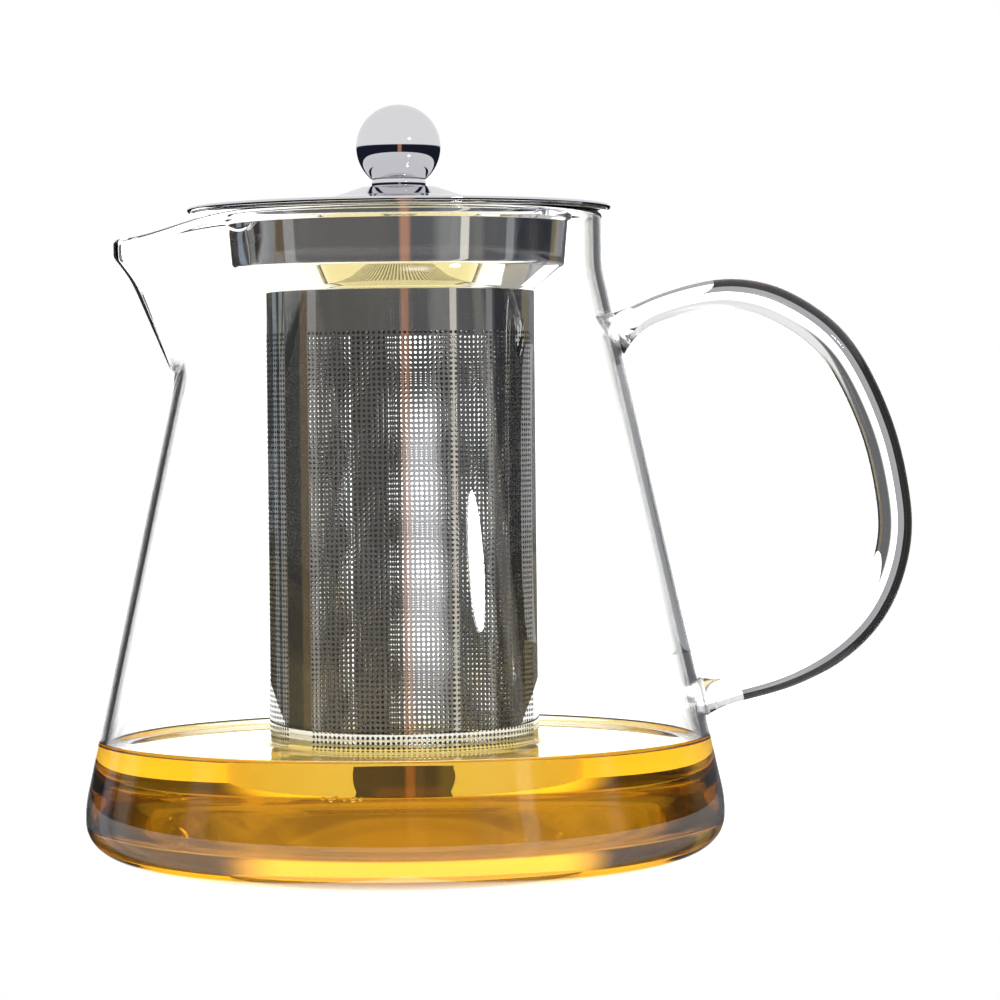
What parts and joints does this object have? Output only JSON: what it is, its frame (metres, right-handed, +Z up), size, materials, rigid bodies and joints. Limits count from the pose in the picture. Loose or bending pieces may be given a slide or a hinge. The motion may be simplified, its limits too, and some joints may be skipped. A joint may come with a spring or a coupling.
{
  "type": "glass teapot with lift-out infuser",
  "caption": "Conical glass teapot with a pulled pouring lip and a glass rod handle, a lift-out perforated steel infuser and a steel lid with a ball knob.",
  "frame": {"origin": "centre of the glass base, on the face that it stands on", "axes": "+Z up the pot's axis, +X towards the handle, so -X is towards the pouring lip; the pot is symmetric across Y"},
  "size_m": [0.1944, 0.15, 0.1775],
  "materials": {
    "glass": "clear, fire-polished",
    "handle_glass": "clear, fire-polished",
    "polished_steel": "mirror-polished stainless steel",
    "mesh_steel": "polished sheet with a square grid of small round holes",
    "fastener_steel": "plain stainless steel"
  },
  "bodies": {
    "pot": {"glass_body": "glass", "handle": "handle_glass"},
    "infuser": {"infuser_collar": "polished_steel", "infuser_sleeve": "mesh_steel", "infuser_base": "mesh_steel"},
    "lid": {"lid_shell": "polished_steel", "lid_skirt": "polished_steel", "knob_ferrule": "polished_steel", "knob_ball": "polished_steel", "knob_screw": "fastener_steel", "knob_washer": "fastener_steel"}
  },
  "joints": [
    {"name": "infuser_lift", "type": "slide", "parent": "pot", "child": "infuser", "axis": [0, 0, 1], "range_m": [0, 0.15]},
    {"name": "lid_lift", "type": "slide", "parent": "infuser", "child": "lid", "axis": [0, 0, 1], "range_m": [0, 0.05]}
  ]
}
